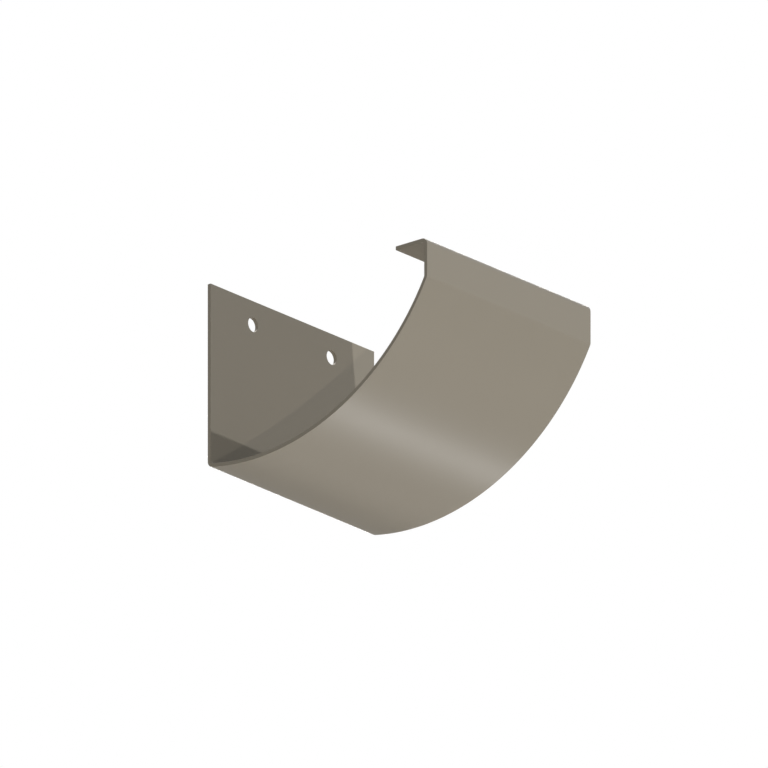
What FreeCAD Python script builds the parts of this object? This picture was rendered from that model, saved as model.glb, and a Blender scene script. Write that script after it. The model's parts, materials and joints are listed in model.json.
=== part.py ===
import FreeCAD, Part
import math
import os

# Joint strap for a rainwater gutter, folded from one strip of sheet metal.
# Its back plate is screwed to the wall, and the ends of two lengths of gutter
# meet inside its curved trough.
#
# Millimetres: X runs along the gutter, +Y points to the wall and +Z is up.
# The origin is on the wall face, midway between the two screw holes.

# Driving dimensions
strap_length = 100.0          # along the gutter, from side edge to side edge
sheet_thickness = 1.6
overall_height = 80.0         # lowest point of the trough to the top of the back plate
overall_depth = 114.2         # wall face to the outside of the front lip
low_point_from_wall = 22.8    # wall face to the lowest point of the trough
fold_height = 55.4            # lowest point of the trough up to the fold under the lip
lip_height = 16.6             # that fold up to the top of the flange
flange_depth = 16.4           # outside of the lip back to the free edge of the flange
bend_inner_radius = 1.2       # inside of each tight bend
hole_diameter = 6.0
hole_spacing = 48.0           # between the two hole centres
hole_below_top = 10.0         # top edge of the back plate down to the hole centres

# Heights on the screw holes' own level, which is Z = 0
plate_top = hole_below_top
trough_bottom = plate_top - overall_height
flange_top = trough_bottom + fold_height + lip_height

# The trough is one arc: level at its lowest point, and passing through the fold under the lip
sweep_reach = overall_depth - low_point_from_wall
sweep_radius = (sweep_reach ** 2 + fold_height ** 2) / (2 * fold_height)
bend_outer_radius = bend_inner_radius + sheet_thickness

# Directions about a centre in the side view, in degrees, in the order that the sheet meets them
TO_WALL = 0
TO_FRONT = -180
UPWARD = -270


def point(y, z):
    """A point of the side view, in the plane X = 0."""
    return FreeCAD.Vector(0, y, z)


def around(centre, radius, degrees):
    """The point at a radius and a direction about a centre."""
    angle = math.radians(degrees)
    return centre + point(radius * math.cos(angle), radius * math.sin(angle))


def direction(centre, target):
    """The direction of a target about a centre, in degrees."""
    step = target - centre
    return math.degrees(math.atan2(step.z, step.y))


def line(start, end):
    return Part.LineSegment(start, end).toShape()


def arc(centre, radius, start, end):
    """The arc about a centre from one direction to another."""
    middle = (start + end) / 2
    points = [around(centre, radius, degrees) for degrees in (start, middle, end)]
    return Part.Arc(*points).toShape()


def bend_into_trough(y):
    """The centre of a tight bend at y whose outside runs smoothly into the outside of the trough."""
    drop = math.sqrt((sweep_radius - bend_outer_radius) ** 2 - (y - sweep_centre.y) ** 2)
    return point(y, sweep_centre.z - drop)


# Centres of the trough and of the three tight bends, and where the flange stops
sweep_centre = point(-low_point_from_wall, trough_bottom + sweep_radius)
foot_bend = bend_into_trough(-bend_outer_radius)
fold_bend = bend_into_trough(bend_outer_radius - overall_depth)
flange_bend = point(bend_outer_radius - overall_depth, flange_top - bend_outer_radius)
flange_edge = flange_depth - overall_depth

# Directions at which the trough starts and stops
trough_start = direction(sweep_centre, foot_bend)
trough_stop = direction(sweep_centre, fold_bend)


def sheet_face(inset):
    """One face of the sheet in side view, inset from the outside, from the plate round to the flange."""
    tight = bend_outer_radius - inset
    wide = sweep_radius - inset
    return [
        line(point(-inset, plate_top), around(foot_bend, tight, TO_WALL)),
        arc(foot_bend, tight, TO_WALL, trough_start),
        arc(sweep_centre, wide, trough_start, trough_stop),
        arc(fold_bend, tight, trough_stop, TO_FRONT),
        line(around(fold_bend, tight, TO_FRONT), around(flange_bend, tight, TO_FRONT)),
        arc(flange_bend, tight, TO_FRONT, UPWARD),
        line(around(flange_bend, tight, UPWARD), point(flange_edge, flange_top - inset)),
    ]


def folded_strip():
    """The strip after folding, centred along X."""
    outside = sheet_face(0)
    inside = sheet_face(sheet_thickness)
    plate_end = line(point(0, plate_top), point(-sheet_thickness, plate_top))
    flange_end = line(point(flange_edge, flange_top), point(flange_edge, flange_top - sheet_thickness))
    edges = outside + [flange_end] + inside + [plate_end]
    section = Part.Face(Part.Wire(Part.sortEdges(edges)[0]))
    section.translate(FreeCAD.Vector(-strap_length / 2, 0, 0))
    return section.extrude(FreeCAD.Vector(strap_length, 0, 0))


def hole_punch(x):
    """The round cutter for one screw hole, longer than the plate is thick."""
    start = FreeCAD.Vector(x, -2 * sheet_thickness, 0)
    return Part.makeCylinder(hole_diameter / 2, 3 * sheet_thickness, start, FreeCAD.Vector(0, 1, 0))


def build_joint_strap():
    punches = [hole_punch(side * hole_spacing / 2) for side in (-1, 1)]
    return folded_strip().cut(punches).Solids[0]


os.makedirs("parts", exist_ok=True)
joint_strap = build_joint_strap()
joint_strap.exportStep("parts/joint_strap.step")

box = joint_strap.BoundBox
print("joint_strap:", joint_strap.ShapeType, "valid" if joint_strap.isValid() else "not valid")
print("size, mm:", round(box.XLength, 3), round(box.YLength, 3), round(box.ZLength, 3))
print("trough radius, mm:", round(sweep_radius, 3))
print("volume, mm3:", round(joint_strap.Volume, 1))
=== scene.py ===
# %% [markdown]
# # A folded gutter joint strap
#
# The strap is one strip of coated metal. It is screwed flat to a wall, folds forward at its foot, sweeps
# up in one wide arc, and ends in an upright lip with a short level flange. Two lengths of gutter meet in
# the trough. This lesson models the sheet as its maker folds it, finishes it in satin powder coat, and
# lights it plainly.

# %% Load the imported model
import json
import math

import bmesh
import bpy
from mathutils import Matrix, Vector


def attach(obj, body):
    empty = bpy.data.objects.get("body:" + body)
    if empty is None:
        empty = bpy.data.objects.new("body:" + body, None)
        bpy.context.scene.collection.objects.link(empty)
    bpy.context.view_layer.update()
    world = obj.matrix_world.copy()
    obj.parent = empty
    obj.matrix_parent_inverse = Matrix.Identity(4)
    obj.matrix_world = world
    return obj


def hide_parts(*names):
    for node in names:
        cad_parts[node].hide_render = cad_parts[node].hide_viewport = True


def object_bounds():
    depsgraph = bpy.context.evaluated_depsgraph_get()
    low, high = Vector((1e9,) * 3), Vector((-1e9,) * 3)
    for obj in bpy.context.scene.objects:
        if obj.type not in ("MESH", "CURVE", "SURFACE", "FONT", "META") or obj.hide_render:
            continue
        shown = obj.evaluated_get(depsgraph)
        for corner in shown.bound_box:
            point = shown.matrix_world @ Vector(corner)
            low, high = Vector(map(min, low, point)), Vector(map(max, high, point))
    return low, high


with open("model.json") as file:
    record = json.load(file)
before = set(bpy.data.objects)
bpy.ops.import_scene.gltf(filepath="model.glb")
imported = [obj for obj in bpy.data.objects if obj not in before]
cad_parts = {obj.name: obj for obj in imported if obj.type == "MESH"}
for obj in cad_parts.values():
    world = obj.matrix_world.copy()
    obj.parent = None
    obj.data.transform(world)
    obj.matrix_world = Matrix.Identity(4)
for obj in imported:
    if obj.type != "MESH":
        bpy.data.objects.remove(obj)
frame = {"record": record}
cad_low, cad_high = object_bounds()
print("the packed strap is", [round(1000 * side, 1) for side in cad_high - cad_low], "mm")

# %% [markdown]
# ## The sizes of the sheet
#
# The frame already says how long, deep and tall the strap is, and its record says where the screw holes
# are. What is left is how the sheet gets from the wall to the flange: its thickness, the radius of its
# tight bends, the lowest point of the trough, and how high the fold and the lip are. Those are the sizes
# that a drawing of the strap would give, so they are written here once, in metres.

# %% Sizes in metres
sheet = 0.0016
bend_inner_radius = 0.0012
low_point_from_wall = 0.0228
fold_height = 0.0554
lip_height = 0.0166
flange_depth = 0.0164

half_length = (cad_high.x - cad_low.x) / 2
wall = cad_high.y
front = cad_low.y
plate_top = cad_high.z
trough_bottom = cad_low.z
flange_top = trough_bottom + fold_height + lip_height
flange_edge = front + flange_depth

mounts = {mount["name"]: mount for mount in frame["record"]["mounts"]}
holes = mounts["screw_holes"]
hole_centre = Vector(holes["pos_m"])
hole_radius = holes["dims"]["hole_r_mm"] / 1000
hole_spacing = holes["dims"]["spacing_x_mm"] / 1000

bend_radius = bend_inner_radius + sheet
sweep_reach = wall - front - low_point_from_wall
sweep_radius = (sweep_reach**2 + fold_height**2) / (2 * fold_height)
print("the trough is an arc of", round(1000 * sweep_radius, 1), "mm radius outside")

# %% [markdown]
# ## The line of the fold
#
# Seen from its end, the strap is a line of constant thickness: straight runs, three tight bends and one
# wide arc, each running smoothly into the next. It could be drawn as a curve with a bevel, but a curve
# rounds its corners by eye. Here each tight bend is a true arc that touches both neighbours, so one face
# of the sheet is a list of points, and the other face is the same list drawn one thickness further in.

# %% Centres of the bends
TO_WALL = 0
TO_FRONT = -180
UPWARD = -270

sweep_centre = Vector((0, wall - low_point_from_wall, trough_bottom + sweep_radius))


def bend_into_trough(y):
    """The centre of a tight bend at y whose outside runs smoothly into the outside of the trough."""
    drop = math.sqrt((sweep_radius - bend_radius) ** 2 - (y - sweep_centre.y) ** 2)
    return Vector((0, y, sweep_centre.z - drop))


def direction(centre, target):
    """The direction of a target about a centre in the side view, in degrees."""
    step = target - centre
    return math.degrees(math.atan2(step.z, step.y))


foot_bend = bend_into_trough(wall - bend_radius)
fold_bend = bend_into_trough(front + bend_radius)
flange_bend = Vector((0, front + bend_radius, flange_top - bend_radius))
trough_start = direction(sweep_centre, foot_bend)
trough_stop = direction(sweep_centre, fold_bend)
print("the trough turns through", round(trough_start - trough_stop, 1), "degrees")

# %% One face of the sheet, seen from its end
BEND_STEP = 7.5
TROUGH_STEP = 1.0


def arc(centre, radius, start, stop, step):
    """Points on an arc about a centre, from one direction to another, a step or less apart."""
    spans = math.ceil(abs(stop - start) / step)
    turns = [math.radians(start + (stop - start) * span / spans) for span in range(spans + 1)]
    return [centre + radius * Vector((0, math.cos(turn), math.sin(turn))) for turn in turns]


def side_view(inset):
    """One face of the sheet, inset from the outside, from the plate's top to the flange's free edge."""
    tight = bend_radius - inset
    wide = sweep_radius - inset
    trough = arc(sweep_centre, wide, trough_start, trough_stop, TROUGH_STEP)
    return [
        Vector((0, wall - inset, plate_top)),
        *arc(foot_bend, tight, TO_WALL, trough_start, BEND_STEP),
        *trough[1:-1],
        *arc(fold_bend, tight, trough_stop, TO_FRONT, BEND_STEP),
        *arc(flange_bend, tight, TO_FRONT, UPWARD, BEND_STEP),
        Vector((0, flange_edge, flange_top - inset)),
    ]


print("the side view has", len(side_view(0)), "points on each face")

# %% [markdown]
# ## The folded strip
#
# Each point of the side view is a station along the strip, and there the strip's cross section is a thin
# rectangle. Joining every rectangle to the next gives the whole folded sheet as clean four-sided faces,
# with a cap at each end. The same form could come from a Solidify modifier, but that guesses the inside
# of a tight bend, and here it is known.

# %% Join the stations into a sheet
def folded_sheet():
    """The strip before its holes are punched."""
    made = bmesh.new()
    across = Vector((half_length, 0, 0))
    rings = []
    for outside, inside in zip(side_view(0), side_view(sheet)):
        corners = (outside - across, outside + across, inside + across, inside - across)
        rings.append([made.verts.new(corner) for corner in corners])
    for ring, following in zip(rings, rings[1:]):
        for here in range(4):
            beside = (here + 1) % 4
            made.faces.new((ring[here], ring[beside], following[beside], following[here]))
    made.faces.new(rings[0])
    made.faces.new(rings[-1])
    bmesh.ops.recalc_face_normals(made, faces=made.faces)
    mesh = bpy.data.meshes.new("folded_strip")
    made.to_mesh(mesh)
    made.free()
    return mesh


strap = bpy.data.objects.new("folded_strip", folded_sheet())
bpy.context.scene.collection.objects.link(strap)
print("the sheet has", len(strap.data.polygons), "faces")

# %% [markdown]
# ## The screw holes
#
# The real holes are punched, so they are round, straight and plain. A Boolean with one round punch per
# hole does the same to the mesh. The plate is flat, so the many-sided faces that a Boolean leaves there
# shade cleanly.

# %% Punch the holes
HOLE_SIDES = 96
punch_length = 6 * sheet


def punch(x):
    """A round cutter through the back plate at x, longer than the sheet is thick."""
    made = bmesh.new()
    bmesh.ops.create_cone(
        made,
        cap_ends=True,
        segments=HOLE_SIDES,
        radius1=hole_radius,
        radius2=hole_radius,
        depth=punch_length,
    )
    mesh = bpy.data.meshes.new("punch")
    made.to_mesh(mesh)
    made.free()
    cutter = bpy.data.objects.new("punch", mesh)
    cutter.rotation_euler.x = math.pi / 2
    cutter.location = hole_centre + Vector((x, 0, 0))
    bpy.context.scene.collection.objects.link(cutter)
    return cutter


punches = [punch(side * hole_spacing / 2) for side in (-1, 1)]
for cutter in punches:
    cut = strap.modifiers.new("hole", "BOOLEAN")
    cut.operation = "DIFFERENCE"
    cut.solver = "EXACT"
    cut.object = cutter

# %% [markdown]
# ## Soft edges
#
# Powder coat melts as it cures and pulls back a little from every cut edge, so no edge of a coated sheet
# is knife sharp. A Bevel modifier rounds only the edges that turn by more than an angle, which leaves the
# bends alone. Its hardened normals keep the broad faces flat to the light. Its overlap clamp would hold
# the rounding back to suit the shortest edge of the mesh, so it is off: a tenth of a millimetre fits
# everywhere on the sheet.

# %% Round the cut edges and settle the mesh
edge_radius = 0.0001
EDGE_STEPS = 3
EDGE_ANGLE = math.radians(40)

soften = strap.modifiers.new("soft edges", "BEVEL")
soften.width = edge_radius
soften.segments = EDGE_STEPS
soften.limit_method = "ANGLE"
soften.angle_limit = EDGE_ANGLE
soften.harden_normals = True
soften.use_clamp_overlap = False
for polygon in strap.data.polygons:
    polygon.use_smooth = True
for cutter in punches:
    for polygon in cutter.data.polygons:
        polygon.use_smooth = True

finished = strap.evaluated_get(bpy.context.evaluated_depsgraph_get())
strap.data = bpy.data.meshes.new_from_object(finished)
strap.data.name = "folded_strip"
strap.modifiers.clear()
for cutter in punches:
    bpy.data.objects.remove(cutter)
print("the finished strap has", len(strap.data.polygons), "faces")

# %% [markdown]
# ## The shader's words
#
# A finish is a network of nodes, and its sums read best as plain expressions. A Signal wraps the output
# of a node, so that a sum, difference or product of signals and numbers adds the Math node it needs. A
# Finish wraps the network and has one method that adds any other node.

# %% Signals and finishes
class Signal:
    """The output of a node, for use in sums."""

    def __init__(self, finish, socket):
        self.finish = finish
        self.socket = socket

    def math(self, operation, first, second):
        return self.finish.node("ShaderNodeMath", {"operation": operation}, {0: first, 1: second})

    def __add__(self, other):
        return self.math("ADD", self, other)

    def __radd__(self, other):
        return self.math("ADD", other, self)

    def __sub__(self, other):
        return self.math("SUBTRACT", self, other)

    def __rmul__(self, other):
        return self.math("MULTIPLY", other, self)


class Finish:
    """The node network of a material or of the world."""

    def __init__(self, owner):
        owner.use_nodes = True
        self.tree = owner.node_tree
        self.tree.nodes.clear()

    def node(self, kind, settings=None, inputs=None, output=0):
        """Adds a node, sets its settings, fills its sockets with values or links, and gives an output."""
        made = self.tree.nodes.new(kind)
        for name, value in (settings or {}).items():
            setattr(made, name, value)
        for name, value in (inputs or {}).items():
            if isinstance(value, Signal):
                self.tree.links.new(value.socket, made.inputs[name])
            else:
                made.inputs[name].default_value = value
        return Signal(self, made.outputs[output]) if made.outputs else None


# %% [markdown]
# ## Satin powder coat
#
# The finish is an even stone grey, dry to the touch, with a soft sheen that is weak and spread wide. Close
# to, a powder coat isn't flat: it sets with a faint orange peel about two millimetres across, and its
# pigment is very slightly uneven. Both are kept faint, because from a step away the strap reads as one
# plain colour. The peel goes into a Bump node, and the unevenness into the colour and the roughness.

# %% Mix the powder coat
STONE = (0.287, 0.258, 0.209, 1.0)
STONE_LIGHT = (0.294, 0.265, 0.215, 1.0)
SATIN = 0.35
SATIN_CHANGE = 0.03
GLOSS = 0.2
NOISE_MIDDLE = 0.5
PEEL_DETAIL = 1.0
CLOUD_DETAIL = 2.0
peel_width = 0.0022
peel_depth = 0.000004
cloud_width = 0.030


def powder_coat():
    """The strap's one material."""
    material = bpy.data.materials.new("stone_powder_coat")
    coat = Finish(material)
    place = coat.node("ShaderNodeTexCoord", output="Object")

    def noise(width, detail):
        """Even noise whose grains are about one width across."""
        inputs = {"Vector": place, "Scale": 1 / width, "Detail": detail}
        return coat.node("ShaderNodeTexNoise", inputs=inputs)

    cloud = noise(cloud_width, CLOUD_DETAIL)
    peel = noise(peel_width, PEEL_DETAIL)
    colour = coat.node(
        "ShaderNodeMix", {"data_type": "RGBA"}, {0: cloud, 6: STONE, 7: STONE_LIGHT}, output=2
    )
    bump = coat.node("ShaderNodeBump", inputs={"Strength": 1.0, "Distance": peel_depth, "Height": peel})
    surface = coat.node(
        "ShaderNodeBsdfPrincipled",
        inputs={
            "Base Color": colour,
            "Roughness": SATIN + SATIN_CHANGE * (cloud - NOISE_MIDDLE),
            "Specular IOR Level": GLOSS,
            "Normal": bump,
        },
    )
    coat.node("ShaderNodeOutputMaterial", inputs={"Surface": surface})
    return material


strap.data.materials.clear()
strap.data.materials.append(powder_coat())
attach(strap, "root")
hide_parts("joint_strap")
print("the strap is finished in", strap.data.materials[0].name)

# %% [markdown]
# ## The camera
#
# The picture is a parallel view, with no perspective, from the front left and below. An orthographic
# camera gives that. Its direction is two angles, and its place in its own plane is moved a little so that
# the strap sits where it does in the picture.

# %% Place the camera
AZIMUTH = math.radians(-49.61)
ELEVATION = math.radians(-20.80)
PICTURE_PIXELS = 768
metres_per_pixel = 0.0003962
aim_right = -0.00601
aim_up = -0.00172
camera_distance = 0.25


def toward(azimuth, elevation):
    """The unit vector from the strap toward a viewer or a lamp. Azimuth 0 is straight in front."""
    level = math.cos(elevation)
    return Vector((math.sin(azimuth) * level, -math.cos(azimuth) * level, math.sin(elevation)))


to_camera = toward(AZIMUTH, ELEVATION)
turn = to_camera.to_track_quat("Z", "Y")
right = turn @ Vector((1, 0, 0))
up = turn @ Vector((0, 1, 0))
aim = (cad_low + cad_high) / 2 + aim_right * right + aim_up * up

camera = bpy.data.objects.new("camera", bpy.data.cameras.new("camera"))
camera.data.type = "ORTHO"
camera.data.ortho_scale = PICTURE_PIXELS * metres_per_pixel
camera.rotation_mode = "QUATERNION"
camera.rotation_quaternion = turn
camera.location = aim + camera_distance * to_camera
bpy.context.scene.collection.objects.link(camera)
bpy.context.scene.camera = camera
print("the picture is", round(camera.data.ortho_scale, 4), "m wide")

# %% [markdown]
# ## The floor and the sky
#
# The strap hangs on a wall, so the floor lies well below it, out of the way of a camera that looks up.
# Light that falls on the floor comes back up and fills the underside of the trough, as it does under a
# real eave. The floor is pale and the sky is white where the camera or a reflection meets them. As light
# on the strap they count for less, so that the lamps decide the shading.

# %% Lay the floor and set the sky
WHITE = (1.0, 1.0, 1.0)
PALE = (0.66, 0.65, 0.62)
FLOOR_LIGHT = (0.31, 0.31, 0.31)
SKY_LIGHT = (0.05, 0.05, 0.05)
floor_drop = 0.25
floor_level = trough_bottom - floor_drop
floor_half = 6.0


def opaque(colour):
    """A colour with the fourth value that a colour socket asks for."""
    return (*colour, 1.0)


def seen_or_sent(finish, seen, sent):
    """One colour where a camera, gloss or glass ray meets it, and another for the light that it sends."""
    camera_ray = finish.node("ShaderNodeLightPath", output="Is Camera Ray")
    gloss_ray = finish.node("ShaderNodeLightPath", output="Is Glossy Ray")
    glass_ray = finish.node("ShaderNodeLightPath", output="Is Transmission Ray")
    return finish.node(
        "ShaderNodeMix",
        {"data_type": "RGBA"},
        {0: camera_ray + gloss_ray + glass_ray, 6: opaque(sent), 7: opaque(seen)},
        output=2,
    )


def pale_paint():
    """The floor's material."""
    material = bpy.data.materials.new("pale_paint")
    paint = Finish(material)
    surface = paint.node("ShaderNodeBsdfDiffuse", inputs={"Color": seen_or_sent(paint, PALE, FLOOR_LIGHT)})
    paint.node("ShaderNodeOutputMaterial", inputs={"Surface": surface})
    return material


def plain_floor():
    """A wide floor that takes the strap's shadow but throws none, so that low lamps reach the strap."""
    made = bmesh.new()
    bmesh.ops.create_grid(made, x_segments=1, y_segments=1, size=floor_half)
    mesh = bpy.data.meshes.new("floor")
    made.to_mesh(mesh)
    made.free()
    mesh.materials.append(pale_paint())
    floor = bpy.data.objects.new("floor", mesh)
    floor.location.z = floor_level
    floor.visible_shadow = False
    bpy.context.scene.collection.objects.link(floor)


def white_sky():
    """The world: white as seen, and dim as light."""
    world = bpy.data.worlds.new("white_sky")
    sky = Finish(world)
    colour = seen_or_sent(sky, WHITE, SKY_LIGHT)
    light = sky.node("ShaderNodeBackground", inputs={"Color": colour, "Strength": 1.0})
    sky.node("ShaderNodeOutputWorld", inputs={"Surface": light})
    bpy.context.scene.world = world


plain_floor()
white_sky()
print("the floor lies", floor_drop, "m below the strap")

# %% [markdown]
# ## The lamps
#
# The picture's shadows have sharp edges, and they tell where its lamps are. The lip throws a slanting edge
# high on the plate from a lamp above and in front. The trough throws another from a lamp below and in
# front, and the left end catches a third from low on the left. The fill comes from the camera's own side,
# so that the picture shows none of its shadows. A lamp straight across from the camera, one high behind
# the wall and a very broad one overhead keep the back and the inside of the trough clear, and their light
# comes back up from the floor. The long soft line of light under the trough comes from low on the right:
# a wide glow with a bright core, and only the gloss shows it.
#
# Each direction points from the strap to the lamp.

# %% Hang the lamps
IVORY = (1.09, 1.01, 0.90)
DAYLIGHT = (0.90, 1.01, 1.09)
SHARP = math.radians(0.5)
NARROW = math.radians(6)
BROAD = math.radians(20)
SOFT = math.radians(40)
WIDE = math.radians(70)
OVERCAST = math.radians(90)


def lamp(name, direction, strength, colour, spread=SHARP, gloss_only=False):
    """A distant lamp. Strength 1 lights a surface that faces it to the surface's own colour."""
    light = bpy.data.lights.new(name, "SUN")
    light.energy = math.pi * strength
    light.color = colour
    light.angle = spread
    hung = bpy.data.objects.new(name, light)
    hung.rotation_mode = "QUATERNION"
    hung.rotation_quaternion = Vector(direction).to_track_quat("Z", "Y")
    bpy.context.scene.collection.objects.link(hung)
    if gloss_only:
        # With a lamp hidden from diffuse light, multiple importance sampling would lose part of its gloss
        hung.visible_diffuse = False
        light.cycles.use_multiple_importance_sampling = False


low_right = (0.712, 0.088, -0.697)
lamp("front_high", (0.364, -1.0, 0.568), 0.293, WHITE)
lamp("front_low", (0.153, -1.0, -0.585), 0.372, WHITE)
lamp("left_low", (-1.774, -1.0, -1.354), 0.188, IVORY)
lamp("camera_fill", to_camera, 0.145, DAYLIGHT)
lamp("rear", -to_camera, 0.42, IVORY, BROAD)
lamp("behind_wall", (0.2, 0.7, 1.0), 0.35, IVORY, SOFT)
lamp("overhead", (0.0, 0.0, 1.0), 0.16, WHITE, OVERCAST)
lamp("right_glow", low_right, 0.335, IVORY, WIDE, gloss_only=True)
lamp("right_core", low_right, 0.122, WHITE, NARROW, gloss_only=True)

# %% Set the view transform
view = bpy.context.scene.view_settings
view.view_transform = "Standard"
